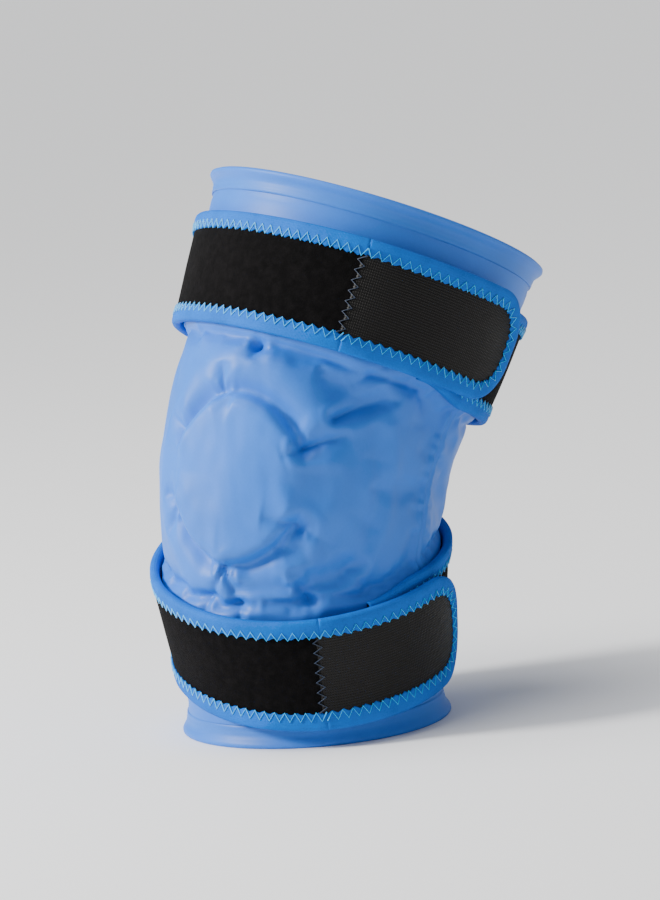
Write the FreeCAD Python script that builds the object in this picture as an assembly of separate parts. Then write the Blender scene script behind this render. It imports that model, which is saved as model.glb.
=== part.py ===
import FreeCAD
import Part
import math
import os

# Cold compression wrap for a knee, as it stands when it is closed round a slightly bent leg.
# Millimetres, +Z up. The lower rim stands flat on Z = 0 and the front of the wrap faces -Y.
# A place on the pack is given by s, the distance along the leg's centre line from the lower
# rim, and phi, the angle round the leg: 0 at the front, 90 at +X, 180 at the back.

# ---- driving dimensions ---------------------------------------------------------------

SHIN_LENGTH = 70.0          # straight stretch below the bend
BEND_RADIUS = 210.0         # radius of the centre line at the knee
FLEX_DEG = 25.0             # how far the knee is bent
THIGH_LENGTH = 95.0         # straight stretch above the bend
BEND_AZIMUTH_DEG = 30.0     # the thigh leans towards this side of +Y
BASE_CENTRE = (-20.6, -25.4)    # the lower rim's centre, from the middle of the whole object's box

# Outer radii of the pack: distance along the centre line, then side, front and back radius.
PACK_PROFILE = [
    (0.0, 65.5, 63.0, 67.0),
    (14.0, 63.5, 62.0, 65.0),
    (30.0, 63.0, 63.0, 64.0),
    (60.0, 66.0, 71.0, 64.0),
    (95.0, 70.0, 79.0, 65.0),
    (130.0, 72.5, 83.0, 66.0),
    (165.0, 75.0, 83.0, 69.0),
    (195.0, 78.0, 81.0, 75.0),
    (225.0, 80.5, 82.5, 80.0),
    (256.6, 83.0, 84.5, 84.0),
]

FILM = 1.2                  # outer film
LINING = 0.9                # soft film against the skin
GEL_DEPTH = 9.0             # gel between the films
GEL_START = 18.0            # the gel begins this far from the lower rim
GEL_END = 222.0             # and stops this far along
GEL_RAMP = 40.0             # length over which the gel reaches its full depth
FLAT_DEPTH = 0.5            # space left between the films outside the gel
LAYER_GAP = 0.3             # free play between neighbouring layers

BACK_GAP_DEG = 5.0          # half of the open slit behind the knee
SIDE_SEAM_DEG = 87.0        # weld between the front chamber and the side chambers
KNEE_PAD_S = 112.0          # centre of the round kneecap chamber, along the centre line
KNEE_PAD_RADIUS = 38.0
KNEE_SEAM = 4.0             # width of the ring weld round the kneecap chamber

RIM_HEIGHT = 9.0            # welted rims
RIM_BEAD = 3.0              # how far a rim's rounded face stands out
RIM_EDGE = 1.0              # and its thickness along the two edges
BACK_EDGE_DEG = 6.0         # flat weld down each back edge
SIDE_SEAM_HALF_DEG = 2.0    # half width of the weld down each side
PATCH_THICKNESS = 0.6

WALL_DEG = 22.0             # the pack's walls are drawn through points this far apart
SECTION_DEG = 14.0          # and the straps are sectioned this often
STRAP_WIDTH = 56.0
STRAP_CORE = 2.6            # neoprene with its loop face
BINDING = 0.9               # edge tape, each side of the core
TAPE_PLAY = 0.35            # free play between the tape and the core
BINDING_WIDTH = 8.5
STRAP_START_DEG = 57.0      # the strap is anchored here, under its own tab
UPPER_SEAM_DEG = 387.0      # one turn on, the hook tab is sewn on
LOWER_SEAM_DEG = 395.0
UPPER_TIP_DEG = 451.0       # and ends here
LOWER_TIP_DEG = 465.0
TAB_CORNER = 23.0           # radius of the tab's round corners
TAB_JOINT_GAP_DEG = 0.3     # free play at the tab's hinge line
UNDER_LIFT = 1.6            # the strap's distance from the pack
OVER_LIFT = 8.0             # and where it lies on its own beginning
CLIMB_START_DEG = 325.0     # it climbs from one to the other between these
CLIMB_END_DEG = 395.0
HOOK_THICKNESS = 1.1
HINGE_LIFT = 1.2            # the peel line lies this far outside the seam
ANCHOR_WIDTH = 36.0         # welded patch under the strap's beginning
ANCHOR_LIFT = 0.6           # its distance from the pack

UPPER_STRAP_S = 206.6       # where the upper strap's mid plane meets the centre line
LOWER_STRAP_S = 57.0
LOWER_STRAP_TILT_DEG = 14.0     # the lower strap dips in front, below the kneecap
UPPER_STRAP_SPIRAL = -6.0   # how far the beginning lies below the end
LOWER_STRAP_SPIRAL = 4.0

ARC_LENGTH = BEND_RADIUS * math.radians(FLEX_DEG)
TOTAL_LENGTH = SHIN_LENGTH + ARC_LENGTH + THIGH_LENGTH
SECTIONS = [0, RIM_HEIGHT, 24, 45, 75, 110, 145, 175, 200, 225,
            TOTAL_LENGTH - RIM_HEIGHT, TOTAL_LENGTH]      # where the layers are sectioned
UP = FreeCAD.Vector(0, 0, 1)
LEAN = FreeCAD.Vector(math.sin(math.radians(BEND_AZIMUTH_DEG)),
                      math.cos(math.radians(BEND_AZIMUTH_DEG)), 0)
BASE = FreeCAD.Vector(BASE_CENTRE[0], BASE_CENTRE[1], 0)


# ---- the pack's surface ---------------------------------------------------------------

def smooth(t):
    """Ease from 0 to 1 as t goes from 0 to 1."""
    t = max(0.0, min(1.0, t))
    return t * t * (3 - 2 * t)


def turned(vector, angle):
    """A vector turned by the knee's bend, angle in radians."""
    return FreeCAD.Rotation(UP.cross(LEAN), math.degrees(angle)).multVec(vector)


def centre_line(s):
    """Point on the leg's centre line and the bend reached there, in radians."""
    angle = max(0.0, min(s - SHIN_LENGTH, ARC_LENGTH)) / BEND_RADIUS
    point = BASE + UP * min(s, SHIN_LENGTH)
    point += LEAN * BEND_RADIUS * (1 - math.cos(angle)) + UP * BEND_RADIUS * math.sin(angle)
    past = max(0.0, s - SHIN_LENGTH - ARC_LENGTH)
    return point + turned(UP, angle) * past, angle


def slope(i, column):
    """Slope of the profile at station i, from its neighbours."""
    low = max(i - 1, 0)
    high = min(i + 1, len(PACK_PROFILE) - 1)
    rise = PACK_PROFILE[high][column] - PACK_PROFILE[low][column]
    return rise / (PACK_PROFILE[high][0] - PACK_PROFILE[low][0])


def radius_at(s, column):
    """Smooth curve through the profile's stations."""
    i = 0
    while i < len(PACK_PROFILE) - 2 and s > PACK_PROFILE[i + 1][0]:
        i += 1
    s0, s1 = PACK_PROFILE[i][0], PACK_PROFILE[i + 1][0]
    y0, y1 = PACK_PROFILE[i][column], PACK_PROFILE[i + 1][column]
    step = s1 - s0
    t = (s - s0) / step
    straight = y0 + (y1 - y0) * t * t * (3 - 2 * t)
    bent = slope(i, column) * (1 - t) + -slope(i + 1, column) * t
    return straight + step * t * (1 - t) * bent


def pack_point(s, phi_deg, offset):
    """Point at an offset outside the pack's outer face."""
    phi = math.radians(phi_deg)
    point, angle = centre_line(s)
    side = radius_at(s, 1) + offset
    depth = radius_at(s, 2 if math.cos(phi) > 0 else 3) + offset
    across = turned(FreeCAD.Vector(1, 0, 0), angle) * side * math.sin(phi)
    forward = turned(FreeCAD.Vector(0, -1, 0), angle) * depth * math.cos(phi)
    return point + across + forward


def gel_depth(s):
    """Space between the films, almost none at the rims and full over the middle."""
    swell = smooth((s - GEL_START) / GEL_RAMP) * smooth((GEL_END - s) / GEL_RAMP)
    return FLAT_DEPTH + (GEL_DEPTH - FLAT_DEPTH) * swell


def outer_face(s):
    return 0.0


def film_inside(s):
    return -FILM


def gel_outside(s):
    return -FILM - LAYER_GAP


def gel_inside(s):
    return gel_outside(s) - gel_depth(s)


def lining_outside(s):
    return gel_inside(s) - LAYER_GAP


def lining_inside(s):
    return lining_outside(s) - LINING


def spline(points):
    """Smooth curve through points, evenly parametrised so that neighbouring sections match."""
    curve = Part.BSplineCurve()
    curve.interpolate(Points=points, Parameters=[i / (len(points) - 1) for i in range(len(points))])
    return curve.toShape()


def steps(start, end, count):
    return [start + (end - start) * i / count for i in range(count + 1)]


def wall(stations, phi_from, phi_to, outside, inside):
    """Curved wall between two faces of the pack, lofted along the leg."""
    count = max(4, round(abs(phi_to - phi_from) / WALL_DEG))
    sections = []
    for s in stations:
        outer = [pack_point(s, phi, outside(s)) for phi in steps(phi_from, phi_to, count)]
        inner = [pack_point(s, phi, inside(s)) for phi in steps(phi_to, phi_from, count)]
        sections.append(Part.Wire([
            spline(outer), Part.makeLine(outer[-1], inner[0]),
            spline(inner), Part.makeLine(inner[-1], outer[0])]))
    return Part.makeLoft(sections, True, False)


# ---- the gel pack ---------------------------------------------------------------------

def pack_film():
    edge = 180 - BACK_GAP_DEG
    return wall(SECTIONS, -edge, edge, outer_face, film_inside)


def pack_lining():
    edge = 180 - BACK_GAP_DEG
    return wall(SECTIONS, -edge, edge, lining_outside, lining_inside)


def gel_body(phi_from, phi_to):
    """Gel of one chamber: the space between the films, less the flat ends at the rims."""
    space = wall(SECTIONS, phi_from, phi_to, gel_outside, gel_inside)
    far = 300.0
    low, high = GEL_START + GEL_RAMP / 5, GEL_END - GEL_RAMP / 5
    point, angle = centre_line(high)
    below = Part.makeCylinder(far, low + far, BASE - UP * far, UP)
    above = Part.makeCylinder(far, far, point, turned(UP, angle))
    return space.cut(below).cut(above)


def knee_cutter(radius):
    """Round bar that points at the kneecap, square to the pack."""
    middle = pack_point(KNEE_PAD_S, 0, 0)
    angle = centre_line(KNEE_PAD_S)[1]
    outwards = turned(FreeCAD.Vector(0, -1, 0), angle)
    reach = 30.0
    return Part.makeCylinder(radius, 2 * reach, middle - outwards * reach, outwards)


def kneecap_gel():
    return gel_body(-SIDE_SEAM_DEG / 2, SIDE_SEAM_DEG / 2).common(knee_cutter(KNEE_PAD_RADIUS))


def front_gel():
    seam = SIDE_SEAM_DEG - SIDE_SEAM_HALF_DEG
    return gel_body(-seam, seam).cut(knee_cutter(KNEE_PAD_RADIUS + KNEE_SEAM))


def side_gel(side):
    near = SIDE_SEAM_DEG + SIDE_SEAM_HALF_DEG
    far = 180 - BACK_GAP_DEG - BACK_EDGE_DEG
    return gel_body(side * near, side * far)


def bead(s_from_edge):
    """Rounded outer face of a rim, by distance from its lower or upper edge."""
    t = 2 * s_from_edge / RIM_HEIGHT - 1
    return LAYER_GAP + RIM_EDGE + RIM_BEAD * math.sqrt(max(0.0, 1 - t * t))


def rim(start, flare):
    """Welted rim outside the film, over RIM_HEIGHT from start, its bead leaning out."""
    edge = 180 - BACK_GAP_DEG

    def outside(s):
        return bead(s - start) + flare * (s - start) / RIM_HEIGHT

    def inside(s):
        return LAYER_GAP

    return wall(steps(start, start + RIM_HEIGHT, 3), -edge, edge, outside, inside)


# ---- the straps -----------------------------------------------------------------------

class Strap:
    """Path of one strap: a flat loop round the pack that ends on its own beginning."""

    def __init__(self, s, tilt_deg, spiral, seam, tip):
        self.s = s
        self.seam = seam
        self.tip = tip
        self.middle, angle = centre_line(s)
        forward = FreeCAD.Vector(LEAN.x, -LEAN.y, 0)
        tilt = FreeCAD.Rotation(UP.cross(forward), tilt_deg)
        self.normal = tilt.multVec(turned(UP, angle))
        front = FreeCAD.Vector(0, -1, 0)
        self.front = (front - self.normal * front.dot(self.normal)).normalize()
        self.spiral = spiral

    def shift(self, phi_deg):
        """How far the strap lies from its mid plane, most at its beginning."""
        turn = (self.seam - phi_deg) / (self.seam - STRAP_START_DEG)
        return self.spiral * max(0.0, min(1.0, turn))

    def lift(self, phi_deg):
        """Distance of the core's inner face from the pack."""
        climb = smooth((phi_deg - CLIMB_START_DEG) / (CLIMB_END_DEG - CLIMB_START_DEG))
        return UNDER_LIFT + BINDING + (OVER_LIFT - UNDER_LIFT) * climb

    def outwards(self, phi_deg):
        """Direction away from the strap's own axis, in its mid plane."""
        return FreeCAD.Rotation(self.normal, phi_deg).multVec(self.front)

    def pack_radius(self, phi_deg, height):
        """Distance from the strap's axis to the pack, found by walking over the pack."""
        outwards = self.outwards(phi_deg)
        along = self.normal.cross(outwards)
        s, phi = self.s + height, phi_deg
        for _ in range(12):
            reach = pack_point(s, phi, 0) - self.middle
            s += height - reach.dot(self.normal)
            phi -= math.degrees(reach.dot(along) / reach.dot(outwards))
        return reach.dot(outwards)

    def point(self, phi_deg, height, offset):
        """Point at a height across the strap and an offset from its core's inner face."""
        height += self.shift(phi_deg)
        radius = self.pack_radius(phi_deg, height) + self.lift(phi_deg) + offset
        return self.middle + self.normal * height + self.outwards(phi_deg) * radius


UPPER = Strap(UPPER_STRAP_S, 0.0, UPPER_STRAP_SPIRAL, UPPER_SEAM_DEG, UPPER_TIP_DEG)
LOWER = Strap(LOWER_STRAP_S, LOWER_STRAP_TILT_DEG, LOWER_STRAP_SPIRAL, LOWER_SEAM_DEG, LOWER_TIP_DEG)


def ribbon(strap, phi_from, phi_to, bottom, top, inside, outside):
    """Flat band along the strap between two heights and two offsets."""
    sections = []
    for phi in steps(phi_from, phi_to, max(2, round((phi_to - phi_from) / SECTION_DEG))):
        inner = [strap.point(phi, h, inside) for h in steps(bottom, top, 4)]
        outer = [strap.point(phi, h, outside) for h in steps(top, bottom, 4)]
        sections.append(Part.Wire([
            spline(inner), Part.makeLine(inner[-1], outer[0]),
            spline(outer), Part.makeLine(outer[-1], inner[0])]))
    return Part.makeLoft(sections, True, False)


def band(strap):
    """The strap's core, from its anchor round the leg to the tab's seam."""
    half = STRAP_WIDTH / 2 - BINDING - TAPE_PLAY
    return ribbon(strap, STRAP_START_DEG, strap.seam, -half, half, 0, STRAP_CORE)


def band_binding(strap, side):
    """Folded tape over one long edge of the core, a U in section."""
    edge = STRAP_WIDTH / 2
    lip = edge - BINDING_WIDTH
    play = TAPE_PLAY
    profile = [
        (edge, -BINDING), (lip, -BINDING), (lip, -play), (edge - BINDING, -play),
        (edge - BINDING, STRAP_CORE + play), (lip, STRAP_CORE + play),
        (lip, STRAP_CORE + BINDING), (edge, STRAP_CORE + BINDING)]
    count = round((strap.seam - STRAP_START_DEG) / SECTION_DEG)
    sections = []
    for phi in steps(STRAP_START_DEG, strap.seam, count):
        corners = [strap.point(phi, side * height, offset) for height, offset in profile]
        sections.append(Part.makePolygon(corners + corners[:1]))
    return Part.makeLoft(sections, True, False)


def tab_prism(strap, inset):
    """Bar with the tab's round-ended outline, pointing away from the leg at the tab's tip."""
    along_deg = strap.tip - 12
    outwards = strap.outwards(along_deg)
    across = strap.normal
    along = across.cross(outwards)
    tip = strap.point(strap.tip, 0, 0)
    half = STRAP_WIDTH / 2 - inset
    corner = max(TAB_CORNER - inset, 3.0)
    length, depth, reach = 150.0, 90.0, 40.0

    def at(u, h):
        return tip + along * (u - inset) + across * h - outwards * depth

    swing = corner * (1 - math.sqrt(0.5))
    outline = Part.Wire([
        Part.makeLine(at(-length, -half), at(-corner, -half)),
        Part.Arc(at(-corner, -half), at(-swing, -half + swing), at(0, -half + corner)).toShape(),
        Part.makeLine(at(0, -half + corner), at(0, half - corner)),
        Part.Arc(at(0, half - corner), at(-swing, half - swing), at(-corner, half)).toShape(),
        Part.makeLine(at(-corner, half), at(-length, half)),
        Part.makeLine(at(-length, half), at(-length, -half))])
    return Part.Face(outline).extrude(outwards * (depth + reach))


def tab_layer(strap, phi_from, inside, outside, inset):
    """One layer of the tab, cut to the tab's outline less an inset."""
    wide = STRAP_WIDTH / 2 + 5
    raw = ribbon(strap, phi_from, strap.tip + 6, -wide, wide, inside, outside)
    return raw.common(tab_prism(strap, inset))


def hook_tab(strap):
    start = strap.seam + TAB_JOINT_GAP_DEG
    return tab_layer(strap, start, 0, STRAP_CORE, BINDING + TAPE_PLAY)


def tab_binding(strap):
    """Folded tape round the tab's two sides and its round end."""
    start = strap.seam + TAB_JOINT_GAP_DEG
    play = TAPE_PLAY
    tape = tab_layer(strap, start, -BINDING, STRAP_CORE + BINDING, 0)
    slot = tab_layer(strap, start - 2, -play, STRAP_CORE + play, BINDING)
    return tape.cut(tab_prism(strap, BINDING_WIDTH)).cut(slot)


def hook_patch(strap):
    """Hook sheet sewn under the tab, inside its binding."""
    outside = -TAPE_PLAY
    return tab_layer(strap, strap.seam + 6, outside - HOOK_THICKNESS, outside,
                     BINDING_WIDTH + 2 * TAPE_PLAY)


def tab_hinge(strap):
    """Line that the tab peels about: across the strap at the seam, just outside its face."""
    edges = [strap.point(strap.seam, side * STRAP_WIDTH / 2, STRAP_CORE + BINDING)
             for side in (-1, 1)]
    axis = (edges[0] - edges[1]).normalize()
    place = (edges[0] + edges[1]) * 0.5 + strap.outwards(strap.seam) * HINGE_LIFT
    return place, axis


def anchor_patch(strap):
    """Welded patch that ties the strap's beginning to the pack."""
    inside = ANCHOR_LIFT - UNDER_LIFT - BINDING
    half = ANCHOR_WIDTH / 2
    return ribbon(strap, STRAP_START_DEG + 3, STRAP_START_DEG + 26, -half, half,
                  inside, inside + PATCH_THICKNESS)


# ---- output ---------------------------------------------------------------------------

def build():
    parts = {
        "outer_film": pack_film(),
        "inner_lining": pack_lining(),
        "kneecap_gel": kneecap_gel(),
        "front_gel": front_gel(),
        "left_side_gel": side_gel(-1),
        "right_side_gel": side_gel(1),
        "lower_rim": rim(0.0, 0.0),
        "upper_rim": rim(TOTAL_LENGTH - RIM_HEIGHT, 1.5),
    }
    for name, strap in (("upper", UPPER), ("lower", LOWER)):
        parts[name + "_strap"] = band(strap)
        parts[name + "_strap_top_binding"] = band_binding(strap, 1)
        parts[name + "_strap_bottom_binding"] = band_binding(strap, -1)
        parts[name + "_strap_anchor"] = anchor_patch(strap)
        parts[name + "_hook_tab"] = hook_tab(strap)
        parts[name + "_tab_binding"] = tab_binding(strap)
        parts[name + "_hook_patch"] = hook_patch(strap)
    return parts


def main():
    os.makedirs("parts", exist_ok=True)
    for name, shape in build().items():
        solids = shape.Solids
        solid = solids[0] if len(solids) == 1 else Part.makeCompound(solids)
        print(name, len(solids), solid.isValid(), round(solid.Volume))
        solid.exportStep(os.path.join("parts", name + ".step"))
    for name, strap in (("upper", UPPER), ("lower", LOWER)):
        place, axis = tab_hinge(strap)
        print(name, "hinge", [round(v, 3) for v in place], "axis", [round(v, 5) for v in axis])


main()
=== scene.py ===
import math

import bmesh
import bpy
import numpy as np
from mathutils import Matrix, Vector


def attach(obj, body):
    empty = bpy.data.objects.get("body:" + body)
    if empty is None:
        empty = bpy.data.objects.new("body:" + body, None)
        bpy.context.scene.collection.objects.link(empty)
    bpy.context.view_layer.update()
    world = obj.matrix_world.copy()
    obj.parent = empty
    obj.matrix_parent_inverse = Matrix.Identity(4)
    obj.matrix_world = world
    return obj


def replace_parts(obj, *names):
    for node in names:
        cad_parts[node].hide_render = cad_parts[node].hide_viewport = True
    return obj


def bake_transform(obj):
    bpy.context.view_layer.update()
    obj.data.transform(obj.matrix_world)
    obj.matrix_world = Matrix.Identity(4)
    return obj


bl_info = {
    "name": "Knee Cold Wrap Maker",
    "version": (1, 0, 0),
    "blender": (4, 5, 0),
    "location": "View3D > Sidebar > Cold Wrap",
    "description": "Makes the soft pieces, fabrics and stitching of a knee cold compression wrap",
    "category": "Object",
}

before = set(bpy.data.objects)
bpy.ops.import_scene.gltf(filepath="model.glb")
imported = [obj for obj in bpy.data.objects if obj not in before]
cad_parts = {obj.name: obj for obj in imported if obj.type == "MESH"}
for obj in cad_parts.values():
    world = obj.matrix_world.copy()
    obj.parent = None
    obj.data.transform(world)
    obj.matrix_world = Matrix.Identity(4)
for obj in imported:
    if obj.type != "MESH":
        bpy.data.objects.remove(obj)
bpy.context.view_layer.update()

# ---- the wrap's own shape: millimetres, as in the frame ------------------------------------
# s runs along the leg's centre line from the lower rim; phi is the angle round the leg,
# 0 at the front and 90 at +X, in degrees.

MM = 0.001
SHIN_LENGTH = 70.0
BEND_RADIUS = 210.0
FLEX = math.radians(25.0)
THIGH_LENGTH = 95.0
BEND_AZIMUTH = math.radians(30.0)
ARC_LENGTH = BEND_RADIUS * FLEX
TOTAL_LENGTH = SHIN_LENGTH + ARC_LENGTH + THIGH_LENGTH
BASE = np.array([-20.6, -25.4, 0.0])
UP = np.array([0.0, 0.0, 1.0])
LEAN = np.array([math.sin(BEND_AZIMUTH), math.cos(BEND_AZIMUTH), 0.0])
BEND_AXIS = np.cross(UP, LEAN)

# Outer radii of the pack: distance along the centre line, then side, front and back radius.
PACK_PROFILE = np.array([
    (0.0, 65.5, 63.0, 67.0),
    (14.0, 63.5, 62.0, 65.0),
    (30.0, 63.0, 63.0, 64.0),
    (60.0, 66.0, 71.0, 64.0),
    (95.0, 70.0, 79.0, 65.0),
    (130.0, 72.5, 83.0, 66.0),
    (165.0, 75.0, 83.0, 69.0),
    (195.0, 78.0, 81.0, 75.0),
    (225.0, 80.5, 82.5, 80.0),
    (256.6, 83.0, 84.5, 84.0),
])

FILM = 1.2
LINING = 0.9
GEL_DEPTH = 9.0
GEL_START = 18.0
GEL_END = 222.0
GEL_RAMP = 40.0
FLAT_DEPTH = 0.5
LAYER_GAP = 0.3
BACK_EDGE_DEG = 175.0
SIDE_SEAM_DEG = 87.0

STRAP_WIDTH = 56.0
STRAP_CORE = 2.6
BINDING = 0.9
STRAP_START_DEG = 57.0
TAB_CORNER = 23.0
UNDER_LIFT = 1.6
OVER_LIFT = 8.0
CLIMB_START_DEG = 325.0
CLIMB_END_DEG = 395.0

KNEE_S = 120.0              # centre of the kneecap chamber along the centre line
KNEE_DEG = 2.0              # and round the leg
KNEE_RING = 43.0            # radius of its ring of welds
FRONT_STRETCH = 0.33        # the front of the bend is this much longer than the centre line
MEAN_RADIUS = 78.0          # of the pack, for the spacing of its points
FRONT_RADIUS = 80.0         # of the pack at the knee's front
RING_ARCS = [(-20, 60), (117, 180), (196, 248), (296, 334)]   # welded arcs, clockwise from the top


def smooth(t):
    t = np.clip(t, 0.0, 1.0)
    return t * t * (3 - 2 * t)


def turned(vector, angle):
    """A fixed vector turned by each of the bend angles."""
    angle = np.asarray(angle, float)[..., None]
    swept = np.cross(BEND_AXIS, vector)
    kept = BEND_AXIS * float(BEND_AXIS @ vector)
    return vector * np.cos(angle) + swept * np.sin(angle) + kept * (1 - np.cos(angle))


def centre_line(s):
    s = np.asarray(s, float)
    angle = np.clip(s - SHIN_LENGTH, 0, ARC_LENGTH) / BEND_RADIUS
    point = BASE + UP * np.minimum(s, SHIN_LENGTH)[..., None]
    point = point + LEAN * (BEND_RADIUS * (1 - np.cos(angle)))[..., None]
    point = point + UP * (BEND_RADIUS * np.sin(angle))[..., None]
    past = np.maximum(0.0, s - SHIN_LENGTH - ARC_LENGTH)[..., None]
    return point + turned(UP, angle) * past, angle


def radius_at(s, column):
    x, y = PACK_PROFILE[:, 0], PACK_PROFILE[:, column]
    slopes = np.empty_like(y)
    slopes[1:-1] = (y[2:] - y[:-2]) / (x[2:] - x[:-2])
    slopes[0] = (y[1] - y[0]) / (x[1] - x[0])
    slopes[-1] = (y[-1] - y[-2]) / (x[-1] - x[-2])
    i = np.clip(np.searchsorted(x, s, side="left") - 1, 0, len(x) - 2)
    step = x[i + 1] - x[i]
    t = (s - x[i]) / step
    straight = y[i] + (y[i + 1] - y[i]) * t * t * (3 - 2 * t)
    return straight + step * t * (1 - t) * (slopes[i] * (1 - t) - slopes[i + 1] * t)


def pack_point(s, phi_deg, offset):
    """Points at an offset outside the pack's outer face."""
    s, phi_deg, offset = np.broadcast_arrays(
        np.asarray(s, float), np.asarray(phi_deg, float), np.asarray(offset, float))
    phi = np.radians(phi_deg)
    point, angle = centre_line(s)
    side = radius_at(s, 1) + offset
    depth = np.where(np.cos(phi) > 0, radius_at(s, 2), radius_at(s, 3)) + offset
    across = turned(np.array([1.0, 0, 0]), angle) * (side * np.sin(phi))[..., None]
    forward = turned(np.array([0, -1.0, 0]), angle) * (depth * np.cos(phi))[..., None]
    return point + across + forward


def gel_depth(s):
    swell = smooth((s - GEL_START) / GEL_RAMP) * smooth((GEL_END - s) / GEL_RAMP)
    return FLAT_DEPTH + (GEL_DEPTH - FLAT_DEPTH) * swell


def lining_offset(s):
    return -FILM - 2 * LAYER_GAP - gel_depth(s)


class Strap:
    """One strap's path: a flat loop round the pack that ends on its own beginning."""

    def __init__(self, name, s, tilt, spiral, seam, end):
        self.name = name
        self.s = s
        self.seam = seam
        self.end = end
        middle, angle = centre_line(s)
        self.middle = middle
        normal = turned(UP, angle)
        toward = np.array([LEAN[0], -LEAN[1], 0.0])
        axis = np.cross(UP, toward)
        normal = (normal * math.cos(tilt) + np.cross(axis, normal) * math.sin(tilt)
                  + axis * float(axis @ normal) * (1 - math.cos(tilt)))
        self.normal = normal
        front = np.array([0, -1.0, 0])
        front = front - normal * float(front @ normal)
        self.front = front / np.linalg.norm(front)
        self.side = np.cross(normal, self.front)
        self.spiral = spiral
        reach = float(self.pack_radius(np.array(seam), np.array(0.0)))
        self.per_degree = math.radians(reach + OVER_LIFT)

    def outwards(self, phi_deg):
        phi = np.radians(np.asarray(phi_deg, float))[..., None]
        return self.front * np.cos(phi) + self.side * np.sin(phi)

    def shift(self, phi_deg):
        turn = (self.seam - phi_deg) / (self.seam - STRAP_START_DEG)
        tucked = smooth((phi_deg - STRAP_START_DEG - 3) / 22)     # the beginning hides behind the tab
        return self.spiral * np.clip(turn, 0.0, 1.0) * tucked

    def lift(self, phi_deg):
        climb = smooth((phi_deg - CLIMB_START_DEG) / (CLIMB_END_DEG - CLIMB_START_DEG))
        return UNDER_LIFT + BINDING + (OVER_LIFT - UNDER_LIFT) * climb

    def pack_radius(self, phi_deg, height):
        out = self.outwards(phi_deg)
        along = np.cross(self.normal, out)
        s, phi = self.s + height, phi_deg * 1.0
        for _ in range(12):
            reach = pack_point(s, phi, 0.0) - self.middle
            radial = (reach * out).sum(-1)
            s = s + height - reach @ self.normal
            phi = phi - np.degrees((reach * along).sum(-1) / radial)
        return radial

    def at(self, u, height, offset):
        """Point u millimetres past the tab's seam, at a height and an offset from the core."""
        u, height, offset = np.broadcast_arrays(
            np.asarray(u, float), np.asarray(height, float), np.asarray(offset, float))
        phi = self.seam + u / self.per_degree
        height = height + self.shift(phi)
        radius = self.pack_radius(phi, height) + self.lift(phi) + offset
        return self.middle + height[..., None] * self.normal + self.outwards(phi) * radius[..., None]

    def start(self):
        return (STRAP_START_DEG - self.seam) * self.per_degree

    def tip(self):
        return (self.end - self.seam) * self.per_degree


UPPER = Strap("upper", 206.6, 0.0, -6.0, seam=387.0, end=451.0)
LOWER = Strap("lower", 57.0, math.radians(14.0), 4.0, seam=395.0, end=465.0)
STRAPS = (UPPER, LOWER)


# ---- settings a user would change ----------------------------------------------------------

class ColdWrapPack(bpy.types.PropertyGroup):
    film_spacing: bpy.props.FloatProperty(
        name="Film Spacing", description="Distance between the film's points before it is refined",
        default=0.0032, min=0.002, max=0.01, unit="LENGTH")
    swell: bpy.props.FloatProperty(
        name="Swell", description="Pressure of the gel behind the film", default=4.0, min=0, max=20)
    slack: bpy.props.FloatProperty(
        name="Slack", description="Spare film over the gel, which gathers at the welds",
        default=0.02, min=0, max=0.2, subtype="FACTOR")
    swell_limit: bpy.props.FloatProperty(
        name="Swell Limit", description="Furthest that the film may move as it swells",
        default=0.009, min=0, max=0.02, unit="LENGTH")
    weld_depth: bpy.props.FloatProperty(
        name="Weld Depth", description="Depth of the kneecap ring weld", default=0.0046,
        min=0, max=0.01, unit="LENGTH")


class ColdWrapStrap(bpy.types.PropertyGroup):
    tape_width: bpy.props.FloatProperty(
        name="Tape Width", description="Visible width of the edge tape", default=0.0085,
        min=0.004, max=0.014, unit="LENGTH")
    stitch_pitch: bpy.props.FloatProperty(
        name="Stitch Pitch", description="Length of one zigzag along the tape", default=0.0052,
        min=0.002, max=0.01, unit="LENGTH")
    stitch_width: bpy.props.FloatProperty(
        name="Stitch Width", description="Width of the zigzag across the tape", default=0.0042,
        min=0.001, max=0.008, unit="LENGTH")
    thread: bpy.props.FloatProperty(
        name="Thread", description="Thickness of the sewing thread", default=0.00075,
        min=0.0002, max=0.002, unit="LENGTH")
    hook_pitch: bpy.props.FloatProperty(
        name="Hook Pitch", description="Distance between hooks on the hook sheet",
        default=0.0028, min=0.001, max=0.006, unit="LENGTH")


class ColdWrapFinish(bpy.types.PropertyGroup):
    film_colour: bpy.props.FloatVectorProperty(
        name="Film", description="Colour of the gel pack's film", subtype="COLOR", size=3,
        min=0, max=1, default=(0.020, 0.165, 0.640))
    tape_colour: bpy.props.FloatVectorProperty(
        name="Edge Tape", description="Colour of the straps' edge tape", subtype="COLOR", size=3,
        min=0, max=1, default=(0.000, 0.118, 0.520))
    thread_colour: bpy.props.FloatVectorProperty(
        name="Thread", description="Colour of the zigzag thread on the tape", subtype="COLOR",
        size=3, min=0, max=1, default=(0.010, 0.380, 0.900))
    seam_colour: bpy.props.FloatVectorProperty(
        name="Seam Thread", description="Colour of the thread that joins the hook tab",
        subtype="COLOR", size=3, min=0, max=1, default=(0.012, 0.026, 0.060))
    loop_colour: bpy.props.FloatVectorProperty(
        name="Loop Fabric", description="Colour of the strap's loop face", subtype="COLOR",
        size=3, min=0, max=1, default=(0.0016, 0.0014, 0.0015))
    mesh_colour: bpy.props.FloatVectorProperty(
        name="Tab Mesh", description="Colour of the hook tab's woven face", subtype="COLOR",
        size=3, min=0, max=1, default=(0.0030, 0.0024, 0.0018))


SETTINGS = {"cold_wrap_pack": ColdWrapPack, "cold_wrap_strap": ColdWrapStrap,
            "cold_wrap_finish": ColdWrapFinish}


# ---- meshes --------------------------------------------------------------------------------

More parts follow.
